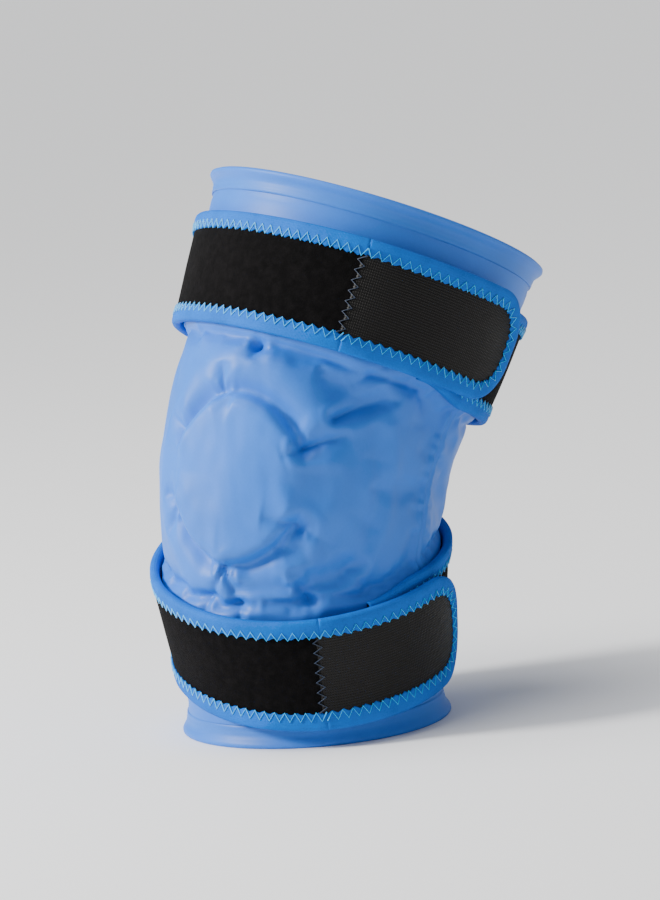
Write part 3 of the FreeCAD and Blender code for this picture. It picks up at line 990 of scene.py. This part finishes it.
PLATE_ROWS = 17
CORE_INSET = 1.2            # of the webbing and the tab's face, within the tape
HOOK_SHEET_INSET = 9.2
HOOK_SHEET_START = 9.0      # millimetres past the seam
HOOK_SHEET_TOP = -0.35
HOOK_SHEET_DEPTH = 0.5
TAB_START = -1.8            # the tab's face reaches under the strap's end
WEBBING_END = -0.2
TAB_FACE_PROUD = 0.12
BEND_START, BEND_END = -0.5, 13.0   # distances past the seam where the tab's bend would start and end; nothing is bent


def plate(strap, name, columns, half_at, bottom, top, material):
    """Closed plate in the strap's sheet: columns of u, half height at each, two offsets."""
    u = np.asarray(columns, float)
    share = np.linspace(-1, 1, PLATE_ROWS)
    h = half_at(u)[:, None] * share[None, :]
    uu = np.repeat(u[:, None], PLATE_ROWS, 1)
    puff = 0.35 * (1 - share ** 2)[None, :] + 0.16 * value_noise(uu / 19, h / 15, 17)
    upper = strap.at(uu, h, top + puff)
    lower = strap.at(uu, h, bottom)
    count = len(u) * PLATE_ROWS
    faces = grid_faces(len(u), PLATE_ROWS) + grid_faces(len(u), PLATE_ROWS, count, True)
    faces += rim_faces(len(u), PLATE_ROWS, count)
    uv = np.column_stack([uu.ravel(), h.ravel()]) * MM
    piece = new_piece(name, np.vstack([upper.reshape(-1, 3), lower.reshape(-1, 3)]), faces,
                      material, np.vstack([uv, uv]))
    for edge_face in piece.data.polygons[-2 * (len(u) + PLATE_ROWS - 2):]:
        edge_face.use_smooth = False
    return outward_normals(piece)


def tab_half(strap, inset):
    """Gives the half height of the tab's outline at a distance from the seam, less an inset."""
    length, corner = strap.tip() - inset, TAB_CORNER - inset
    half = STRAP_WIDTH / 2 - inset

    def half_at(u):
        past = np.clip(u - (length - corner), 0, corner)
        return half - corner + np.sqrt(np.maximum(corner ** 2 - past ** 2, 0.0))
    return half_at


def tab_columns(strap, inset, start):
    """Distances from the seam for the tab's columns, closer together round its end."""
    length, corner = strap.tip() - inset, TAB_CORNER - inset
    count = round((length - corner - start) / 1.8)
    straight = np.linspace(start, length - corner, count, endpoint=False)
    turn = length - corner + corner * np.sin(np.radians(np.linspace(0, 90, 16)))
    return np.concatenate([straight, turn])


def strap_core(strap):
    half = STRAP_WIDTH / 2 - CORE_INSET
    columns = np.linspace(strap.start(), WEBBING_END, round(-strap.start() / 2.0))
    piece = plate(strap, strap.name + "_strap_webbing", columns, lambda u: np.full_like(u, half),
                  0.0, STRAP_CORE, materials()["Loop Fabric"])
    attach(piece, "pack")
    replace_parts(piece, strap.name + "_strap")


def bend_with_tab(strap, piece):
    """Bakes a tab piece's placement into its mesh; points at the bend's start and end are found, but the
    piece is not bent.
    """
    start = strap.at(BEND_START, 0.0, STRAP_CORE) * MM
    end = strap.at(BEND_END, 0.0, STRAP_CORE) * MM
    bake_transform(piece)


def tab_plate(strap, label, inset, start, bottom, top, material):
    """A plate with the tab's outline, its placement baked into its mesh."""
    piece = plate(strap, f"{strap.name}_{label}", tab_columns(strap, inset, start),
                  tab_half(strap, inset), bottom, top, materials()[material])
    bend_with_tab(strap, piece)
    return piece


def hook_tab(strap):
    piece = tab_plate(strap, "tab_face", CORE_INSET, TAB_START, 0.0, STRAP_CORE + TAB_FACE_PROUD,
                      "Tab Mesh")
    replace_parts(piece, strap.name + "_hook_tab")


def hook_sheet(strap):
    piece = tab_plate(strap, "hook_sheet", HOOK_SHEET_INSET, HOOK_SHEET_START,
                      HOOK_SHEET_TOP - HOOK_SHEET_DEPTH, HOOK_SHEET_TOP, "Hook Plastic")
    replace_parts(piece, strap.name + "_hook_patch")


def straps_edge_tape(strap):
    for side, label in ((1, "top"), (-1, "bottom")):
        places, inwards = edge_line(strap, side, TAPE_STEP)
        piece = tape_piece(strap, f"{strap.name}_edge_tape_{label}", places, inwards)
        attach(piece, "pack")
        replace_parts(piece, f"{strap.name}_strap_{label}_binding")
    places, inwards = tab_outline(strap, 0.0, TAPE_STEP)
    piece = tape_piece(strap, strap.name + "_tab_edge_tape", places, inwards)
    bend_with_tab(strap, piece)
    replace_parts(piece, strap.name + "_tab_binding")


# ---- stitches and hooks, by geometry nodes -------------------------------------------------

def geometry_tree(name, inputs):
    """A geometry node tree with its input sockets and its output node."""
    tree = bpy.data.node_groups.new(name, "GeometryNodeTree")
    tree.is_modifier = True
    add_inputs(tree, [("Geometry", "NodeSocketGeometry", None), *inputs,
                      ("Material", "NodeSocketMaterial", None)])
    tree.interface.new_socket("Geometry", in_out="OUTPUT", socket_type="NodeSocketGeometry")
    return tree, tree.nodes.new("NodeGroupInput").outputs, tree.nodes.new("NodeGroupOutput")


def named_vector(tree, name):
    return node(tree, "GeometryNodeInputNamedAttribute", {"Name": name},
                data_type="FLOAT_VECTOR").outputs["Attribute"]


def scaled(tree, vector, factor):
    return node(tree, "ShaderNodeVectorMath", {0: vector, "Scale": factor}, operation="SCALE").outputs[0]


def thread_tube(tree, line, radius, sides):
    """A closed round tube of a few sides along a curve."""
    circle = node(tree, "GeometryNodeCurvePrimitiveCircle", {"Resolution": sides, "Radius": radius})
    return node(tree, "GeometryNodeCurveToMesh", {
        "Curve": line, "Profile Curve": circle.outputs["Curve"], "Fill Caps": True}).outputs["Mesh"]


def finish_tree(tree, geometry, given, result):
    """Ends a tree with its instances made real and the piece's material set."""
    real = node(tree, "GeometryNodeRealizeInstances", {0: geometry})
    finish = node(tree, "GeometryNodeSetMaterial",
                  {"Geometry": real.outputs[0], "Material": given["Material"]})
    feed(tree, result.inputs["Geometry"], finish.outputs["Geometry"])
    return tree


def zigzag_tree(name):
    """A thread that zigzags along a line whose points know their across and out directions."""
    tree, given, result = geometry_tree(name, [
        ("Stitch Length", "NodeSocketFloat", 0.0026), ("Half Width", "NodeSocketFloat", 0.002),
        ("Drop", "NodeSocketFloat", 0.0003), ("Thread Radius", "NodeSocketFloat", 0.0003)])
    line = node(tree, "GeometryNodeMeshToCurve", {"Mesh": given["Geometry"]})
    even = node(tree, "GeometryNodeResampleCurve",
                {"Curve": line.outputs["Curve"], "Length": given["Stitch Length"]}, mode="LENGTH")
    odd = maths(tree, "MODULO", tree.nodes.new("GeometryNodeInputIndex").outputs[0], 2.0)
    sign = maths(tree, "SUBTRACT", maths(tree, "MULTIPLY", odd, 2.0), 1.0)
    across = scaled(tree, named_vector(tree, "across"),
                    maths(tree, "MULTIPLY", sign, given["Half Width"]))
    fall = maths(tree, "MULTIPLY", maths(tree, "MULTIPLY", odd, given["Drop"]), -1.0)
    down = scaled(tree, named_vector(tree, "out"), fall)
    step = node(tree, "ShaderNodeVectorMath", {0: across, 1: down}, operation="ADD").outputs[0]
    moved = node(tree, "GeometryNodeSetPosition", {"Geometry": even.outputs["Curve"], "Offset": step})
    tube = thread_tube(tree, moved.outputs["Geometry"], given["Thread Radius"], 6)
    return finish_tree(tree, tube, given, result)


def hook_tree(name):
    """A small bent hook on each point, standing along the point's out direction."""
    tree, given, result = geometry_tree(name, [
        ("Hook Height", "NodeSocketFloat", 0.0009), ("Hook Thickness", "NodeSocketFloat", 0.00022)])
    arc = node(tree, "GeometryNodeCurveArc", {
        "Resolution": 6, "Radius": maths(tree, "MULTIPLY", given["Hook Height"], 0.5),
        "Start Angle": 0.0, "Sweep Angle": math.radians(215)})
    tube = thread_tube(tree, arc.outputs["Curve"], given["Hook Thickness"], 4)
    stand = node(tree, "GeometryNodeTransform",
                 {"Geometry": tube, "Rotation": (math.radians(90), 0, 0)})
    turn = node(tree, "FunctionNodeAlignRotationToVector", {"Vector": named_vector(tree, "out")},
                axis="Z")
    standing = node(tree, "GeometryNodeInstanceOnPoints", {
        "Points": given["Geometry"], "Instance": stand.outputs["Geometry"],
        "Rotation": turn.outputs["Rotation"]})
    return finish_tree(tree, standing.outputs["Instances"], given, result)


def guide_mesh(name, points_mm, edges, vectors):
    """Points and edges that a tree works on, with vectors stored at each point."""
    mesh = bpy.data.meshes.new(name)
    mesh.from_pydata((points_mm * MM).tolist(), edges, [])
    for label, values in vectors.items():
        attribute = mesh.attributes.new(label, "FLOAT_VECTOR", "POINT")
        attribute.data.foreach_set("vector", np.asarray(values, np.float32).ravel())
    return add_object(name, mesh)


def run_tree(guide, name, build, **values):
    """Turns a guide into a finished piece by the named tree, which is built the first time."""
    tree = bpy.data.node_groups.get(name) or build(name)
    modifier = guide.modifiers.new("nodes", "NODES")
    modifier.node_group = tree
    for item in tree.interface.items_tree:
        label = item.name.replace(" ", "_")
        if item.in_out == "INPUT" and label in values:
            modifier[item.identifier] = values[label]
    applied(guide)
    shade_smooth(guide.data)
    guide.data.update()
    return guide


STITCH_OFFSET = 3.85        # of the thread above the core's inner face
STITCH_INSET = 1.6          # of the stitch's middle within the tape's inner edge
STITCH_DROP = 0.0004        # metres that the thread dips off the tape's edge
SEAM_PLACE = -1.4           # of the seam's stitches, millimetres past the tab's start
SEAM_POINTS = 40
SEAM_PROUD = 0.75
HOOK_MARGIN = 10.4
HOOKS_START = 11.0
HOOK_ROOT = -0.8
HOOK_HEIGHT = 0.0011
HOOK_WIRE = 0.00016


def stitch_line(strap, label, places, inwards, offset, material, drop):
    """Zigzag stitching along a line on the strap's sheet."""
    settings = bpy.context.scene.cold_wrap_strap
    centre = strap.at(*places.T, offset)
    across = strap.at(*(places + inwards).T, offset) - centre
    across /= np.linalg.norm(across, axis=1, keepdims=True)
    out = strap.at(*places.T, offset + 1) - centre
    edges = [(i, i + 1) for i in range(len(places) - 1)]
    guide = guide_mesh(f"{strap.name}_{label}", centre, edges, {"across": across, "out": out})
    return run_tree(guide, "Zigzag Stitching", zigzag_tree, Stitch_Length=settings.stitch_pitch / 2,
                    Half_Width=settings.stitch_width / 2, Drop=drop,
                    Thread_Radius=settings.thread / 2, Material=bpy.data.materials[material])


def stitching(strap):
    settings = bpy.context.scene.cold_wrap_strap
    inset = settings.tape_width / MM - STITCH_INSET
    for side, label in ((1, "top"), (-1, "bottom")):
        places, inwards = edge_line(strap, side, TAPE_STEP)
        piece = stitch_line(strap, "stitches_" + label, places + inwards * inset, inwards,
                            STITCH_OFFSET, "Tape Thread", STITCH_DROP)
        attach(piece, "pack")
    places, inwards = tab_outline(strap, inset, TAPE_STEP)
    piece = stitch_line(strap, "stitches_tab", places, inwards, STITCH_OFFSET, "Tape Thread", STITCH_DROP)
    bend_with_tab(strap, piece)
    half = STRAP_WIDTH / 2 - settings.tape_width / MM
    places = np.column_stack([np.full(SEAM_POINTS, SEAM_PLACE), np.linspace(-half, half, SEAM_POINTS)])
    inwards = np.tile([1.0, 0.0], (SEAM_POINTS, 1))
    piece = stitch_line(strap, "seam_stitches", places, inwards, STRAP_CORE + SEAM_PROUD,
                        "Seam Thread", 0.0)
    bend_with_tab(strap, piece)


def hooks(strap):
    pitch = bpy.context.scene.cold_wrap_strap.hook_pitch / MM
    half_at = tab_half(strap, HOOK_MARGIN)
    places = []
    for i, u in enumerate(np.arange(HOOKS_START, strap.tip() - HOOK_MARGIN, pitch)):
        half = half_at(u)
        places += [(u, h) for h in np.arange(-half + (i % 2) * pitch / 2, half, pitch)]
    places = np.array(places)
    root = strap.at(*places.T, HOOK_ROOT)
    out = root - strap.at(*places.T, HOOK_ROOT + 1)
    guide = guide_mesh(strap.name + "_hooks", root, [], {"out": out})
    piece = run_tree(guide, "Fastener Hooks", hook_tree, Hook_Height=HOOK_HEIGHT,
                     Hook_Thickness=HOOK_WIRE, Material=bpy.data.materials["Hook Plastic"])
    bend_with_tab(strap, piece)


# ---- operators -----------------------------------------------------------------------------

class ColdWrapMaker:
    bl_options = {"REGISTER", "UNDO"}


class COLDWRAP_OT_stage(ColdWrapMaker, bpy.types.Operator):
    """Sets the floor, the studio light and the camera"""
    bl_idname = "cold_wrap.make_stage"
    bl_label = "Make Stage"

    def execute(self, context):
        camera()
        pale_floor()
        lights()
        return {"FINISHED"}


class COLDWRAP_OT_gel_pack(ColdWrapMaker, bpy.types.Operator):
    """Makes the gel pack, with its film swollen between its welds"""
    bl_idname = "cold_wrap.make_gel_pack"
    bl_label = "Make Gel Pack"

    def execute(self, context):
        materials()
        gel_pack()
        return {"FINISHED"}


class COLDWRAP_OT_lining(ColdWrapMaker, bpy.types.Operator):
    """Makes the brushed lining against the skin"""
    bl_idname = "cold_wrap.make_lining"
    bl_label = "Make Lining"

    def execute(self, context):
        lining()
        return {"FINISHED"}


class COLDWRAP_OT_rims(ColdWrapMaker, bpy.types.Operator):
    """Makes the two welted rims"""
    bl_idname = "cold_wrap.make_rims"
    bl_label = "Make Rims"

    def execute(self, context):
        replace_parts(rim("upper_rim_welt", True), "upper_rim")
        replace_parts(rim("lower_rim_welt", False), "lower_rim")
        return {"FINISHED"}


class COLDWRAP_OT_straps(ColdWrapMaker, bpy.types.Operator):
    """Makes the two straps' loop webbing and gives their anchor patches the film's material"""
    bl_idname = "cold_wrap.make_straps"
    bl_label = "Make Straps"

    def execute(self, context):
        for strap in STRAPS:
            strap_core(strap)
            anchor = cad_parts[strap.name + "_strap_anchor"]
            anchor.data.materials.clear()
            anchor.data.materials.append(materials()["Gel Pack Film"])
        return {"FINISHED"}


class COLDWRAP_OT_tabs(ColdWrapMaker, bpy.types.Operator):
    """Makes the mesh-faced hook tabs"""
    bl_idname = "cold_wrap.make_tabs"
    bl_label = "Make Hook Tabs"

    def execute(self, context):
        for strap in STRAPS:
            hook_tab(strap)
        return {"FINISHED"}


class COLDWRAP_OT_hooks(ColdWrapMaker, bpy.types.Operator):
    """Makes the hook sheets under the tabs, hook by hook"""
    bl_idname = "cold_wrap.make_hooks"
    bl_label = "Make Hook Sheets"

    def execute(self, context):
        for strap in STRAPS:
            hook_sheet(strap)
            hooks(strap)
        return {"FINISHED"}


class COLDWRAP_OT_edge_tape(ColdWrapMaker, bpy.types.Operator):
    """Makes the folded tape round the straps' and tabs' edges"""
    bl_idname = "cold_wrap.make_edge_tape"
    bl_label = "Make Edge Tape"

    def execute(self, context):
        for strap in STRAPS:
            straps_edge_tape(strap)
        return {"FINISHED"}


class COLDWRAP_OT_stitching(ColdWrapMaker, bpy.types.Operator):
    """Sews the zigzag stitching along the tape and across the seams"""
    bl_idname = "cold_wrap.make_stitching"
    bl_label = "Make Stitching"

    def execute(self, context):
        for strap in STRAPS:
            stitching(strap)
        return {"FINISHED"}


OPERATORS = (COLDWRAP_OT_stage, COLDWRAP_OT_gel_pack, COLDWRAP_OT_lining, COLDWRAP_OT_rims,
             COLDWRAP_OT_straps, COLDWRAP_OT_tabs, COLDWRAP_OT_hooks, COLDWRAP_OT_edge_tape,
             COLDWRAP_OT_stitching)


class COLDWRAP_PT_panel(bpy.types.Panel):
    bl_label = "Cold Wrap"
    bl_idname = "COLDWRAP_PT_panel"
    bl_space_type = "VIEW_3D"
    bl_region_type = "UI"
    bl_category = "Cold Wrap"

    def draw(self, context):
        for name, group in SETTINGS.items():
            box = self.layout.box()
            for prop in group.__annotations__:
                box.prop(getattr(context.scene, name), prop)
        for operator in OPERATORS:
            self.layout.operator(operator.bl_idname)


# ---- stage ---------------------------------------------------------------------------------

CAMERA_AZIMUTH = math.radians(30.0)
CAMERA_ELEVATION = math.radians(8.0)
CAMERA_ROLL = math.radians(4.9)
CAMERA_DISTANCE = 2.0
CAMERA_LENS = 160.0
SENSOR_WIDTH = 36.0
AIM = (-0.0106, -0.0104, 0.138)
AIM_SHIFT = (0.0025, -0.003)
FLOOR_HALF = 40.0
SKY_COLOUR = (0.95, 0.97, 1.0, 1)
SKY_STRENGTH = 0.4
KEY_PLACE = Vector((-1.35, -1.2, 0.95))
KEY_AIM = Vector((0, 0, 0.14))
KEY_SIZE = 0.4
KEY_POWER = 66
KEY_COLOUR = (1.0, 0.99, 0.97)
OVERHEAD_STRENGTH = 2.4
OVERHEAD_ANGLE = math.radians(50)
OVERHEAD_TURN = (math.radians(12), math.radians(-14), 0)


def camera():
    a, e = CAMERA_AZIMUTH, CAMERA_ELEVATION
    back = Vector((math.sin(a) * math.cos(e), -math.cos(a) * math.cos(e), math.sin(e)))
    right = Vector((math.cos(a), math.sin(a), 0.0))
    up = back.cross(right)
    right, up = (right * math.cos(CAMERA_ROLL) - up * math.sin(CAMERA_ROLL),
                 up * math.cos(CAMERA_ROLL) + right * math.sin(CAMERA_ROLL))
    aim = Vector(AIM) + right * AIM_SHIFT[0] + up * AIM_SHIFT[1]
    data = bpy.data.cameras.new("camera")
    data.lens = CAMERA_LENS
    data.sensor_width = SENSOR_WIDTH
    data.clip_end = 200.0
    taken = add_object("camera", data)
    rotation = Matrix((right, up, back)).transposed().to_4x4()
    taken.matrix_world = Matrix.Translation(aim + back * CAMERA_DISTANCE) @ rotation
    bpy.context.scene.camera = taken


def pale_floor():
    tree, shader = new_material("Pale Floor", Roughness=0.9, Specular_IOR_Level=0.1)
    tone = node(tree, "ShaderNodeTexNoise", {"Scale": 3.0})
    coloured(tree, shader, tone.outputs["Fac"], (0.90,) * 3, (0.93,) * 3)
    h = FLOOR_HALF
    mesh = bpy.data.meshes.new("floor")
    mesh.from_pydata([(-h, -h, 0), (h, -h, 0), (h, h, 0), (-h, h, 0)], [], [(0, 1, 2, 3)])
    mesh.materials.append(bpy.data.materials["Pale Floor"])
    floor = add_object("floor", mesh)


def lights():
    world = bpy.data.worlds.new("studio")
    world.use_nodes = True
    sky = world.node_tree.nodes["Background"]
    sky.inputs["Color"].default_value = SKY_COLOUR
    sky.inputs["Strength"].default_value = SKY_STRENGTH
    bpy.context.scene.world = world
    key = bpy.data.lights.new("key", "AREA")
    key.shape = "DISK"
    key.size = KEY_SIZE
    key.energy = KEY_POWER
    key.color = KEY_COLOUR
    lamp = add_object("key", key)
    lamp.rotation_euler = (KEY_AIM - KEY_PLACE).to_track_quat("-Z", "Y").to_euler()
    lamp.location = KEY_PLACE
    overhead = bpy.data.lights.new("overhead", "SUN")
    overhead.energy = OVERHEAD_STRENGTH
    overhead.angle = OVERHEAD_ANGLE
    add_object("overhead", overhead).rotation_euler = OVERHEAD_TURN


# ---- register and run ----------------------------------------------------------------------

def register():
    for group in SETTINGS.values():
        bpy.utils.register_class(group)
    for name, group in SETTINGS.items():
        setattr(bpy.types.Scene, name, bpy.props.PointerProperty(type=group))
    for operator in OPERATORS:
        bpy.utils.register_class(operator)
    bpy.utils.register_class(COLDWRAP_PT_panel)


def unregister():
    bpy.utils.unregister_class(COLDWRAP_PT_panel)
    for operator in reversed(OPERATORS):
        bpy.utils.unregister_class(operator)
    for name, group in SETTINGS.items():
        delattr(bpy.types.Scene, name)
        bpy.utils.unregister_class(group)


def main():
    register()
    for operator in OPERATORS:
        group, call = operator.bl_idname.split(".")
        getattr(getattr(bpy.ops, group), call)()


if __name__ == "__main__":
    main()
